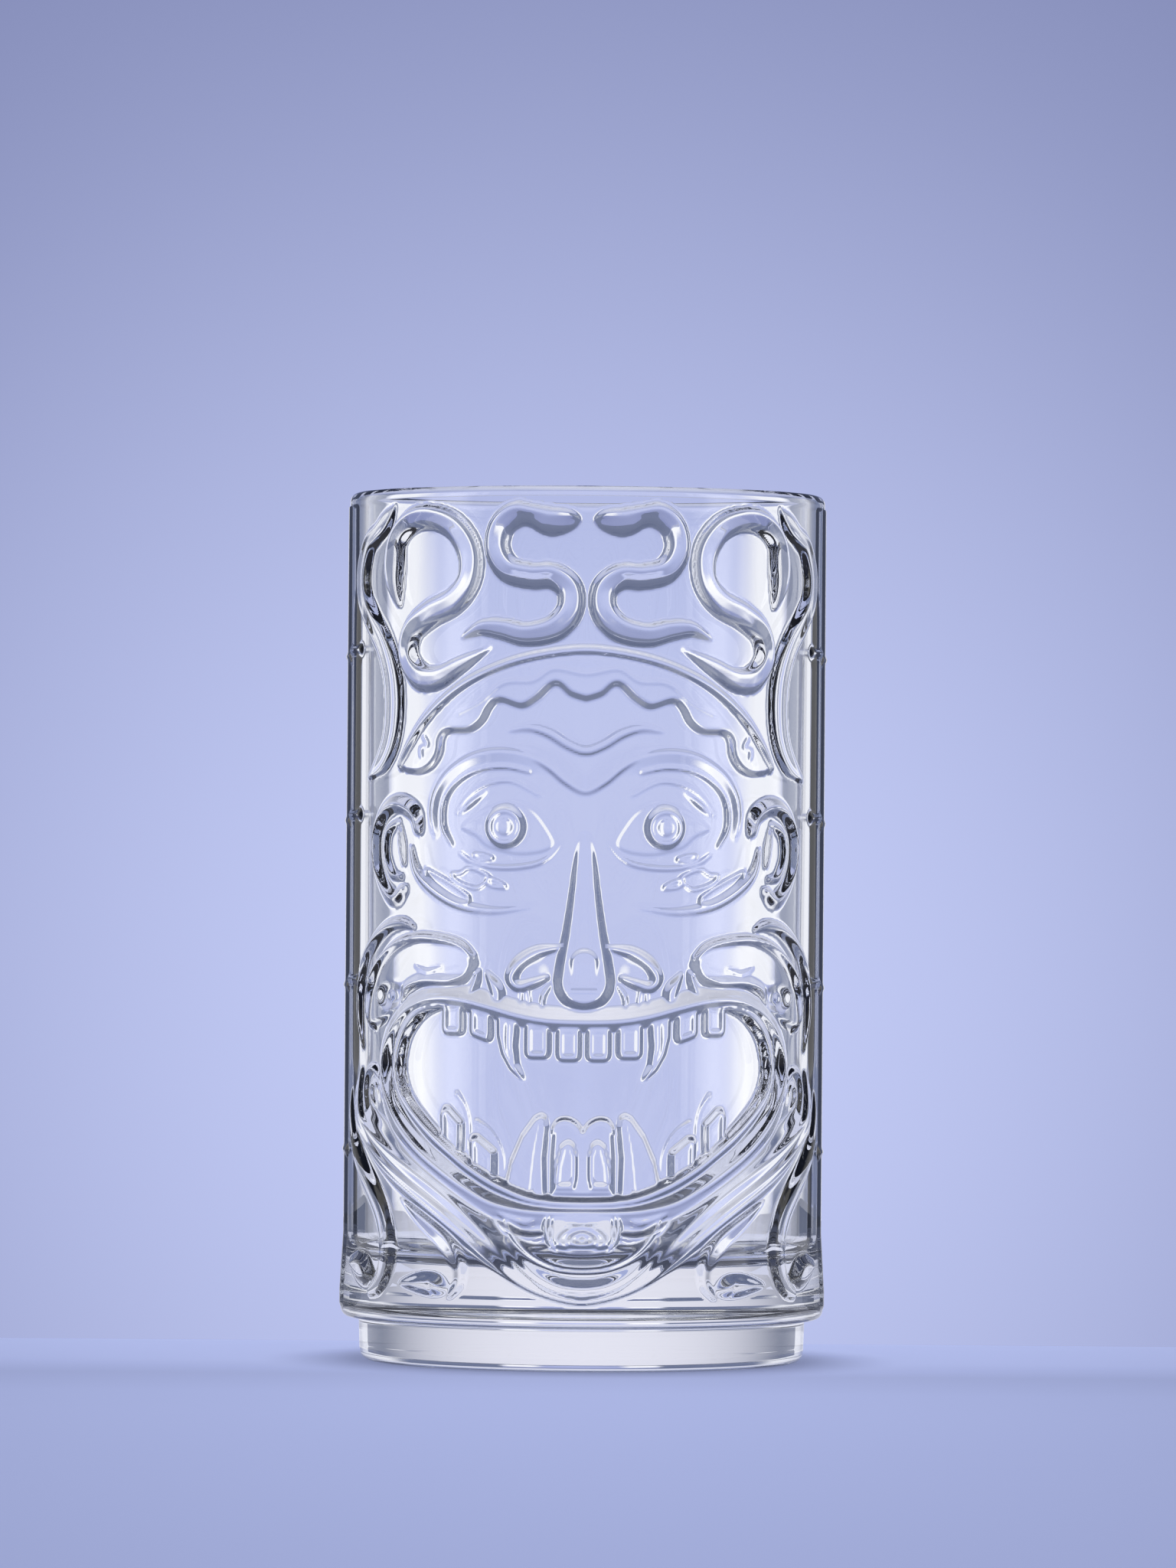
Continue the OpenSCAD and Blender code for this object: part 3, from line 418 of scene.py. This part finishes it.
def draw_beard_snakes(r):
    """Two strands of beard, each ending in a snake's head at the heel."""
    r.ridge([(34.6, 28.3, 0.3, 0.29), (31.2, 26.7, 1.4, 0.86), (27.6, 24.8, 2.2, 1.15),
             (24.3, 22.6, 2.5, 1.22), (22.0, 19.8, 2.2, 1.22), (21.0, 17.0, 1.7, 1.15),
             (21.2, 14.4, 1.5, 1.08), (23.0, 12.5, 1.0, 0.79)], flat=0.1, lean=(1.1, 0.45))
    r.plate([(23.4, 13.6), (25.2, 15.9), (28.4, 16.4), (31.8, 15.7), (34.8, 14.1), (31.4, 12.9),
             (27.6, 12.2), (24.8, 12.4)], 1.6, 1.5, smooth=True)
    r.groove([(26.9, 14.8, 0.5, 0.36), (26.3, 12.8, 0.5, 0.29)])
    r.ridge([(53.8, 46.4, 0.5, 0.29), (53.6, 42.5, 1.4, 0.63), (51.6, 37.6, 2.0, 0.86),
             (48.0, 33.6, 2.4, 0.98), (43.8, 30.0, 2.5, 0.98), (40.4, 26.0, 2.5, 0.98),
             (38.7, 21.4, 2.5, 0.98), (38.8, 17.0, 2.4, 0.98), (40.4, 13.9, 2.0, 0.92),
             (43.0, 12.6, 1.2, 0.69)], flat=0.35, reeds=3, reed_depth=0.1)
    r.plate([(41.4, 14.6), (44.4, 18.4), (48.2, 19.2), (52.0, 18.2), (53.8, 17.3), (51.6, 15.6),
             (48.0, 13.8), (44.6, 13.2)], 1.3, 1.8, smooth=True)


def draw_bamboo(r):
    """Jointed stems beside the face."""
    taper, joint_step, joint_half = 4, 28.0, 3.1
    for u0, low, high, first in ((61.2, 13.5, 143.0, 36.0), (53.4, 54.0, 126.0, 65.0)):
        r.ridge([(u0, low, 3.2, 0.1), (u0, low + taper, 3.3, 0.3), (u0, high - taper, 3.3, 0.3),
                 (u0, high, 3.0, 0.1)], flat=0.3)
        for z in np.arange(first, high - taper, joint_step):
            r.ridge([(u0 - joint_half, z, 1.4, 0.6), (u0 + joint_half, z, 1.4, 0.6)])


def blurred(field, sigma_rows, sigma_cols):
    """A Gaussian blur along both directions of a grid whose last column meets its first."""
    for axis, sigma in ((0, sigma_rows), (1, sigma_cols)):
        reach = max(int(3 * sigma), 1)
        kernel = np.exp(-0.5 * (np.arange(-reach, reach + 1) / sigma) ** 2)
        kernel /= kernel.sum()
        pad = [(0, 0), (0, 0)]
        pad[axis] = (reach, reach)
        padded = np.pad(field, pad, mode="wrap" if axis else "edge")
        out = np.zeros_like(field)
        for k, weight in enumerate(kernel):
            piece = slice(k, k + field.shape[axis])
            out += weight * (padded[piece] if axis == 0 else padded[:, piece])
        field = out
    return field


def whole_relief(zs):
    """The relief all round: a row for each z and a column for each step round the glass."""
    us = np.linspace(0, QUARTER_U, QUARTER_COLUMNS + 1)
    r = Relief(us, zs)
    for draw in (draw_crown, draw_band, draw_eyes, draw_ears, draw_nose, draw_cheeks, draw_mouth,
                 draw_chin, draw_beard_snakes, draw_bamboo):
        draw(r)
    plain = np.zeros((len(zs), 2 * QUARTER_COLUMNS - 1))
    around = np.concatenate([r.h, plain, r.h[:, :0:-1]], axis=1)
    return blurred(around, SOFTEN / ROW_STEP, SOFTEN / (QUARTER_U / QUARTER_COLUMNS))


# ---- The glass ---------------------------------------------------------------------------------

def arc(centre, radius, start, end, steps):
    """Points (r, z) along an arc, angles in degrees."""
    angles = np.radians(np.linspace(start, end, steps))
    return [(centre[0] + radius * math.cos(a), centre[1] + radius * math.sin(a)) for a in angles]


def evenly(a, b, step):
    """Points from a up to but not including b."""
    n = max(int(math.hypot(b[0] - a[0], b[1] - a[1]) / step), 1)
    return [(a[0] + (b[0] - a[0]) * k / n, a[1] + (b[1] - a[1]) * k / n) for k in range(n)]


def ground_r(z):
    """Radius of the ground that the relief stands on."""
    return np.interp(z, [HEEL_TOP, WALL_FOOT], [HEEL_R, WALL_R])


def glass_mesh():
    """Points, quads and end fans of the whole glass, from the hollow under the foot, up the outside,
    over the lip and down the inside. Columns run round the glass from the middle of the face."""
    relief_z = np.arange(RELIEF_FOOT, LIP_Z, ROW_STEP)
    relief = whole_relief(relief_z)
    columns = relief.shape[1]

    inner_top = WALL_R - LIP_T
    inner_foot = inner_top - DRAFT
    centre_r = 0.4                      # the first ring of points, round the end fans
    punt_edge, punt_round = 2.4, 1.0    # how the hollow under the foot turns down
    rest_round = 0.9                    # into the ring that the glass stands on
    foot_round, foot_draft = 1.8, 0.15
    rest_end = FOOT_R - foot_round - 0.2
    neck_round, heel_round = 0.6, 1.5   # between foot and heel
    under = (
        evenly((centre_r, PUNT_DEPTH), (PUNT_R - punt_edge, PUNT_DEPTH), 2.0)
        + arc((PUNT_R - punt_edge, PUNT_DEPTH - punt_round), punt_round, 90, 35, 4)
        + arc((PUNT_R + 1.0, rest_round), rest_round, 215, 270, 4)
        + evenly((PUNT_R + 1.8, 0), (rest_end, 0), 1.2)
        + arc((rest_end, foot_round), foot_round, -90, 0, 10)
        + evenly((FOOT_R - foot_draft, foot_round + 0.4), (FOOT_R, FOOT_H - neck_round), 0.5)
        + arc((FOOT_R + neck_round, FOOT_H - neck_round), neck_round, 180, 90, 6)
        + evenly((FOOT_R + 0.9, FOOT_H), (HEEL_R - heel_round, FOOT_H), 0.3)
        + arc((HEEL_R - heel_round, FOOT_H + heel_round), heel_round, -90, 0, 9)
    )
    lip_r = LIP_T / 2
    round_z = FLOOR_Z + FLOOR_ROUND
    round_r = inner_foot - FLOOR_ROUND
    over = (
        evenly((WALL_R, LIP_Z + 0.1), (WALL_R, HEIGHT - lip_r), 0.3)
        + arc((WALL_R - lip_r, HEIGHT - lip_r), lip_r, 0, 180, 17)
        + evenly((inner_top, HEIGHT - lip_r - 0.4), (inner_top, LIP_Z), 0.4)
        + evenly((inner_top, LIP_Z), (inner_foot, round_z), 1.2)
        + arc((round_r, round_z), FLOOR_ROUND, 0, -90, 26)
        + evenly((round_r - 1.5, FLOOR_Z), (centre_r, FLOOR_Z), 2.0)
    )
    angle = np.arange(columns) / columns * 2 * math.pi
    rows = [(np.full(columns, p[0]), np.full(columns, p[1])) for p in under]
    rows += [(ground_r(z) + h, np.full(columns, z)) for z, h in zip(relief_z, relief)]
    rows += [(np.full(columns, p[0]), np.full(columns, p[1])) for p in over]
    radius = np.array([row[0] for row in rows])
    height = np.array([row[1] for row in rows])
    ring_points = np.stack([radius * np.sin(angle), -radius * np.cos(angle), height], axis=-1)

    count = len(rows)
    points = np.concatenate([ring_points.reshape(-1, 3), [[0, 0, PUNT_DEPTH], [0, 0, FLOOR_Z]]]) * MM
    i, k = np.meshgrid(np.arange(count - 1), np.arange(columns), indexing="ij")
    after = (k + 1) % columns
    quads = np.stack([i * columns + k, i * columns + after,
                      (i + 1) * columns + after, (i + 1) * columns + k], axis=-1).reshape(-1, 4)
    k = np.arange(columns)
    after = (k + 1) % columns
    bottom = np.full(columns, count * columns)
    top_row = (count - 1) * columns
    fans = np.concatenate([np.stack([bottom, after, k], axis=-1),
                           np.stack([bottom + 1, top_row + k, top_row + after], axis=-1)])
    return points, quads, fans


def mesh_object(name, points, quads, fans, material):
    """A smooth-shaded object from arrays of points, four-sided faces and triangles."""
    mesh = bpy.data.meshes.new(name)
    loops = np.concatenate([quads.ravel(), fans.ravel()]).astype(np.int32)
    sizes = np.concatenate([np.full(len(quads), 4), np.full(len(fans), 3)])
    mesh.vertices.add(len(points))
    mesh.vertices.foreach_set("co", points.astype(np.float32).ravel())
    mesh.loops.add(len(loops))
    mesh.loops.foreach_set("vertex_index", loops)
    mesh.polygons.add(len(sizes))
    mesh.polygons.foreach_set("loop_start", (np.cumsum(sizes) - sizes).astype(np.int32))
    mesh.polygons.foreach_set("use_smooth", np.ones(len(sizes), bool))
    mesh.update()
    mesh.validate()
    mesh.materials.append(material)
    piece = bpy.data.objects.new(name, mesh)
    bpy.context.scene.collection.objects.link(piece)
    return piece


def clear_glass():
    """Clear soda-lime glass, fire-polished, with the faint unevenness of a pressed surface."""
    material = bpy.data.materials.new("clear_glass")
    material.use_nodes = True
    nodes, links = material.node_tree.nodes, material.node_tree.links
    glass = nodes["Principled BSDF"]
    glass.inputs["Base Color"].default_value = (0.985, 0.992, 1.0, 1.0)
    glass.inputs["Transmission Weight"].default_value = 1.0
    glass.inputs["IOR"].default_value = 1.5
    glass.inputs["Roughness"].default_value = 0.0
    place = nodes.new("ShaderNodeTexCoord")
    waves = nodes.new("ShaderNodeTexNoise")
    waves.inputs["Scale"].default_value = 60.0
    waves.inputs["Detail"].default_value = 2.0
    bump = nodes.new("ShaderNodeBump")
    bump.inputs["Strength"].default_value = 0.05
    bump.inputs["Distance"].default_value = 0.0002
    links.new(place.outputs["Object"], waves.inputs["Vector"])
    links.new(waves.outputs["Fac"], bump.inputs["Height"])
    links.new(bump.outputs["Normal"], glass.inputs["Normal"])
    return material


# ---- Camera, stage and light, in metres ---------------------------------------------------------

LENS = 203.6            # focal length in millimetres, for a sensor 36 mm wide
CAMERA_PLACE = (0.0004, -1.518, 0.086)
CAMERA_UP = 0.474       # degrees that the camera looks above level
CAMERA_ROLL = 0.45      # degrees

FLOOR_HALF_W = 1.6
FLOOR_NEAR = -2.6
FLOOR_EDGE = 0.055      # how far behind the middle of the glass the floor ends
FLOOR_FADE = 0.5        # how far in front of its edge the floor changes tone
CARD_LIFT = 0.0002      # height of the lowest card over the floor

# The tone of the floor's glow, from FLOOR_FADE in front of its edge (0) to the edge (1): painted light,
# lighter towards the edge, with a painted shadow of the glass as a darker band at 0.80.
FLOOR_TONES = ((0.0, 0.240), (0.4, 0.268), (0.6, 0.285), (0.7, 0.288), (0.80, 0.255), (0.88, 0.345),
               (1.0, 0.385))


def make_camera():
    """The camera of the photo: far away, a little above the middle of the glass, rolled slightly."""
    data = bpy.data.cameras.new("camera")
    data.sensor_width = 36.0
    data.lens = LENS
    data.clip_start = 0.05
    data.clip_end = 50.0
    camera = bpy.data.objects.new("camera", data)
    camera.location = CAMERA_PLACE
    camera.rotation_mode = "YXZ"
    camera.rotation_euler = (math.radians(90 + CAMERA_UP), 0.0, 0.0)
    camera.rotation_euler.rotate_axis("Z", math.radians(CAMERA_ROLL))
    bpy.context.scene.collection.objects.link(camera)
    bpy.context.scene.camera = camera


def empty_material(name):
    """A new material, with its nodes and links."""
    material = bpy.data.materials.new(name)
    material.use_nodes = True
    nodes, links = material.node_tree.nodes, material.node_tree.links
    nodes.clear()
    return material, nodes, links


def own_place(nodes):
    """The place on a surface, in its object's own space."""
    return nodes.new("ShaderNodeTexCoord").outputs["Object"]


def axes_of(nodes, links, vector):
    """The X, Y and Z of a vector."""
    split = nodes.new("ShaderNodeSeparateXYZ")
    links.new(vector, split.inputs["Vector"])
    return split.outputs


def ranged(nodes, links, value, start, end, first=0.0, last=1.0, soft=True):
    """A value that goes from first to last while another goes from start to end."""
    node = nodes.new("ShaderNodeMapRange")
    node.interpolation_type = "SMOOTHSTEP" if soft else "LINEAR"
    node.inputs["From Min"].default_value = start
    node.inputs["From Max"].default_value = end
    node.inputs["To Min"].default_value = first
    node.inputs["To Max"].default_value = last
    links.new(value, node.inputs["Value"])
    return node.outputs["Result"]


def math_of(nodes, links, operation, *values):
    """What a Math node makes of the values."""
    node = nodes.new("ShaderNodeMath")
    node.operation = operation
    for slot, value in enumerate(values):
        links.new(value, node.inputs[slot])
    return node.outputs["Value"]


def length_of(nodes, links, vector):
    """The length of a vector."""
    node = nodes.new("ShaderNodeVectorMath")
    node.operation = "LENGTH"
    links.new(vector, node.inputs[0])
    return node.outputs["Value"]


def output(nodes, links, shader):
    """Makes a shader the surface of its material."""
    out = nodes.new("ShaderNodeOutputMaterial")
    links.new(shader, out.inputs["Surface"])


def glow_material(name, centre, reach, inner, outer, flatten=(1, 0, 1)):
    """Light that fades from one colour at centre to another at reach, by place in the scene. It is
    given off on the front of a surface only: from behind, the surface can't be seen."""
    material, nodes, links = empty_material(name)
    shift = nodes.new("ShaderNodeVectorMath")
    shift.operation = "SUBTRACT"
    shift.inputs[1].default_value = centre
    links.new(own_place(nodes), shift.inputs[0])
    flat = nodes.new("ShaderNodeVectorMath")
    flat.operation = "MULTIPLY"
    flat.inputs[1].default_value = flatten
    links.new(shift.outputs["Vector"], flat.inputs[0])
    away = length_of(nodes, links, flat.outputs["Vector"])
    mix = nodes.new("ShaderNodeMix")
    mix.data_type = "RGBA"
    mix.inputs["A"].default_value = (*inner, 1)
    mix.inputs["B"].default_value = (*outer, 1)
    links.new(ranged(nodes, links, away, 0.0, reach), mix.inputs["Factor"])
    light = nodes.new("ShaderNodeEmission")
    links.new(mix.outputs["Result"], light.inputs["Color"])
    side = nodes.new("ShaderNodeNewGeometry")
    clear = nodes.new("ShaderNodeBsdfTransparent")
    one_sided = nodes.new("ShaderNodeMixShader")
    links.new(side.outputs["Backfacing"], one_sided.inputs["Fac"])
    links.new(light.outputs["Emission"], one_sided.inputs[1])
    links.new(clear.outputs["BSDF"], one_sided.inputs[2])
    output(nodes, links, one_sided.outputs["Shader"])
    return material


def floor_material():
    """Pale lavender paper. Most of its light is its own, so that shadows on it stay faint. Its glow is
    painted light: it is dimmer out to the sides, a painted falloff, and dimmer close to the foot of the
    glass, a painted contact shadow."""
    green, blue = 1.12, 1.74
    material, nodes, links = empty_material("lavender_floor")
    place = own_place(nodes)
    axes = axes_of(nodes, links, place)
    depth = ranged(nodes, links, axes["Y"], FLOOR_EDGE - FLOOR_FADE, FLOOR_EDGE, soft=False)
    # The painted glow along the floor, with its painted shadow band, from FLOOR_TONES.
    ramp = nodes.new("ShaderNodeValToRGB")
    while len(ramp.color_ramp.elements) < len(FLOOR_TONES):
        ramp.color_ramp.elements.new(0.5)
    for element, (position, tone) in zip(ramp.color_ramp.elements, FLOOR_TONES):
        element.position = position
        element.color = (tone, tone * green, tone * blue, 1)
    links.new(depth, ramp.inputs["Fac"])
    aside = math_of(nodes, links, "ABSOLUTE", axes["X"])
    # Painted falloff of light: the glow is dimmer out to the sides.
    painted_side_falloff = ranged(nodes, links, aside, 0.0, 0.2, 1.0, 0.62)
    # Painted contact shadow: the glow is dimmer close round the foot of the glass.
    painted_contact_shadow = ranged(nodes, links, length_of(nodes, links, place), 0.034, 0.056, 0.45, 1.0)
    light = nodes.new("ShaderNodeEmission")
    links.new(ramp.outputs["Color"], light.inputs["Color"])
    links.new(math_of(nodes, links, "MULTIPLY", painted_side_falloff, painted_contact_shadow), light.inputs["Strength"])
    paper = nodes.new("ShaderNodeBsdfDiffuse")
    paper.inputs["Color"].default_value = (0.30, 0.335, 0.52, 1)
    both = nodes.new("ShaderNodeAddShader")
    links.new(light.outputs["Emission"], both.inputs[0])
    links.new(paper.outputs["BSDF"], both.inputs[1])
    output(nodes, links, both.outputs["Shader"])
    return material


def panel_material(name, colour, fades):
    """A soft box: even light that thins out to nothing towards the edges of the panel."""
    material, nodes, links = empty_material(name)
    axes = axes_of(nodes, links, own_place(nodes))
    covers = []
    for axis, fade in zip("XY", fades):
        size = math_of(nodes, links, "ABSOLUTE", axes[axis])
        covers.append(ranged(nodes, links, size, 0.5, 0.5 - fade))
    light = nodes.new("ShaderNodeEmission")
    light.inputs["Color"].default_value = (*colour, 1)
    clear = nodes.new("ShaderNodeBsdfTransparent")
    mix = nodes.new("ShaderNodeMixShader")
    links.new(math_of(nodes, links, "MULTIPLY", *covers), mix.inputs["Fac"])
    links.new(clear.outputs["BSDF"], mix.inputs[1])
    links.new(light.outputs["Emission"], mix.inputs[2])
    output(nodes, links, mix.outputs["Shader"])
    return material


def staged(name, points, faces, material):
    """A piece of the stage."""
    mesh = bpy.data.meshes.new(name)
    mesh.from_pydata(points, [], faces)
    mesh.materials.append(material)
    piece = bpy.data.objects.new(name, mesh)
    bpy.context.scene.collection.objects.link(piece)
    return piece


def upright(name, half_w, y, low, high, material):
    """A card that stands across the view and faces the camera."""
    corners = [(-half_w, y, low), (half_w, y, low), (half_w, y, high), (-half_w, y, high)]
    return staged(name, corners, [(0, 1, 2, 3)], material)


def panel(name, place, target, size, colour, fades=(0.1, 0.1)):
    """A softbox that the camera doesn't see but the glass does. fades are the shares of its width
    and height over which it thins out at each edge."""
    corners = [(-0.5, -0.5, 0), (0.5, -0.5, 0), (0.5, 0.5, 0), (-0.5, 0.5, 0)]
    piece = staged(name, corners, [(0, 1, 2, 3)], panel_material(name, colour, fades))
    piece.scale = (*size, 1)
    piece.location = place
    piece.rotation_euler = (Vector(target) - Vector(place)).to_track_quat("Z", "Y").to_euler()
    piece.visible_camera = False


def disc(name, z, inner_r, outer_r, material):
    """A flat ring just over the floor, seen only through the glass."""
    count = 96
    turns = [2 * math.pi * k / count for k in range(count)]
    points = [(r * math.cos(a), r * math.sin(a), z) for r in (inner_r, outer_r) for a in turns]
    faces = [(k, count + k, count + (k + 1) % count, (k + 1) % count) for k in range(count)]
    piece = staged(name, points, faces, material)
    piece.visible_camera = False
    piece.visible_diffuse = False
    piece.visible_shadow = False


def make_world():
    """The studio around the stage: dim behind the glass and overhead, lighter in front of it."""
    level, overhead, front = (0.17, 0.20, 0.32), (0.115, 0.14, 0.24), (0.47, 0.50, 0.62)
    world = bpy.data.worlds.new("studio")
    bpy.context.scene.world = world
    world.use_nodes = True
    nodes, links = world.node_tree.nodes, world.node_tree.links
    axes = axes_of(nodes, links, nodes.new("ShaderNodeTexCoord").outputs["Generated"])
    ramp = nodes.new("ShaderNodeValToRGB")
    for element, (position, tone) in zip(ramp.color_ramp.elements, ((0.05, level), (0.35, overhead))):
        element.position = position
        element.color = (*tone, 1)
    links.new(axes["Z"], ramp.inputs["Fac"])
    mix = nodes.new("ShaderNodeMix")
    mix.data_type = "RGBA"
    mix.inputs["B"].default_value = (*front, 1)
    links.new(ranged(nodes, links, axes["Y"], 0.1, -0.5, soft=False), mix.inputs["Factor"])
    links.new(ramp.outputs["Color"], mix.inputs["A"])
    links.new(mix.outputs["Result"], nodes["Background"].inputs["Color"])


def make_stage():
    """Floor, backdrop and soft boxes, and the cards that are seen only through the glass."""
    staged("floor", [(-FLOOR_HALF_W, FLOOR_NEAR, 0), (FLOOR_HALF_W, FLOOR_NEAR, 0),
                     (FLOOR_HALF_W, FLOOR_EDGE, 0), (-FLOOR_HALF_W, FLOOR_EDGE, 0)],
           [(0, 1, 2, 3)], floor_material())
    # The backdrop glows with a painted pool of light: lavender behind the glass, fading to a dim dusk tone
    # towards its edges.
    lavender, dusk = (0.555, 0.61, 0.935), (0.23, 0.26, 0.475)
    backdrop = glow_material("lavender_backdrop", (0.0, 0.0, 0.044), 0.42, lavender, dusk)
    upright("backdrop", 0.27, 1.2, -0.4, 0.38, backdrop)

    white, soft_white = (1.0, 1.0, 1.04), (0.88, 0.89, 0.95)
    side_white, top_white = (1.6, 1.6, 1.6), (1.5, 1.5, 1.5)
    middle = (0, 0, 0.08)
    rear_x, rear_z = 0.168, 0.10
    for side in (-1, 1):
        panel("rear_panel", (side * rear_x, 1.0, rear_z), (side * rear_x, 0, rear_z), (0.15, 0.30),
              white, (0.3, 0.1))
        panel("flank_panel", (side * 0.60, 0.38, 0.10), middle, (0.62, 0.60), soft_white, (0.25, 0.2))
        panel("side_panel", (side * 0.70, -0.22, 0.14), middle, (0.4, 0.6), side_white, (0.2, 0.1))
    panel("top_panel", (0, -0.5, 1.2), (0, 0, 0), (0.8, 0.6), top_white)

    # A low card close behind the glass lights its heel.
    pale, shade = (0.80, 0.80, 0.90), (0.13, 0.15, 0.22)
    bounce = glow_material("bounce_card", (0.0, 0.0, 0.0), 0.115, pale, shade, (1, 0, 0))
    upright("bounce_card", 0.2, 0.125, -0.012, 0.019, bounce).visible_camera = False
    # Painted shadow under the foot: a dark disc, seen only through the glass. Round the foot a glowing card,
    # paler near the glass, is a painted pool of light, so the floor looks paler through the glass.
    dark = (0.045, 0.052, 0.085)
    disc("foot_shade", CARD_LIFT, 0.0001, 0.0365, glow_material("foot_shade", (0, 0, 0), 1.0, dark, dark))
    near_white, floor_tone = (0.70, 0.72, 0.86), (0.36, 0.40, 0.64)
    floor_card = glow_material("floor_card", (0, 0, 0), 0.58, near_white, floor_tone, (1, 1, 0))
    disc("floor_card", 2 * CARD_LIFT, 0.046, 0.5, floor_card)
    # This one sets the tone of the plain parts of the glass.
    plain_tone = (0.55, 0.59, 0.87)
    panel("veil", (0, 1.1, 0.0), (0, 0, 0.0), (0.40, 0.38), plain_tone, (0.25, 0.3))


make_camera()
make_stage()
make_world()
tumbler = mesh_object("tumbler_glass", *glass_mesh(), clear_glass())
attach(tumbler, "root")
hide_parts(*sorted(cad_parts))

scene = bpy.context.scene
scene.view_settings.view_transform = "Standard"
scene.cycles.use_denoising = True
scene.cycles.max_bounces = 24
scene.cycles.transmission_bounces = 20
scene.cycles.glossy_bounces = 8
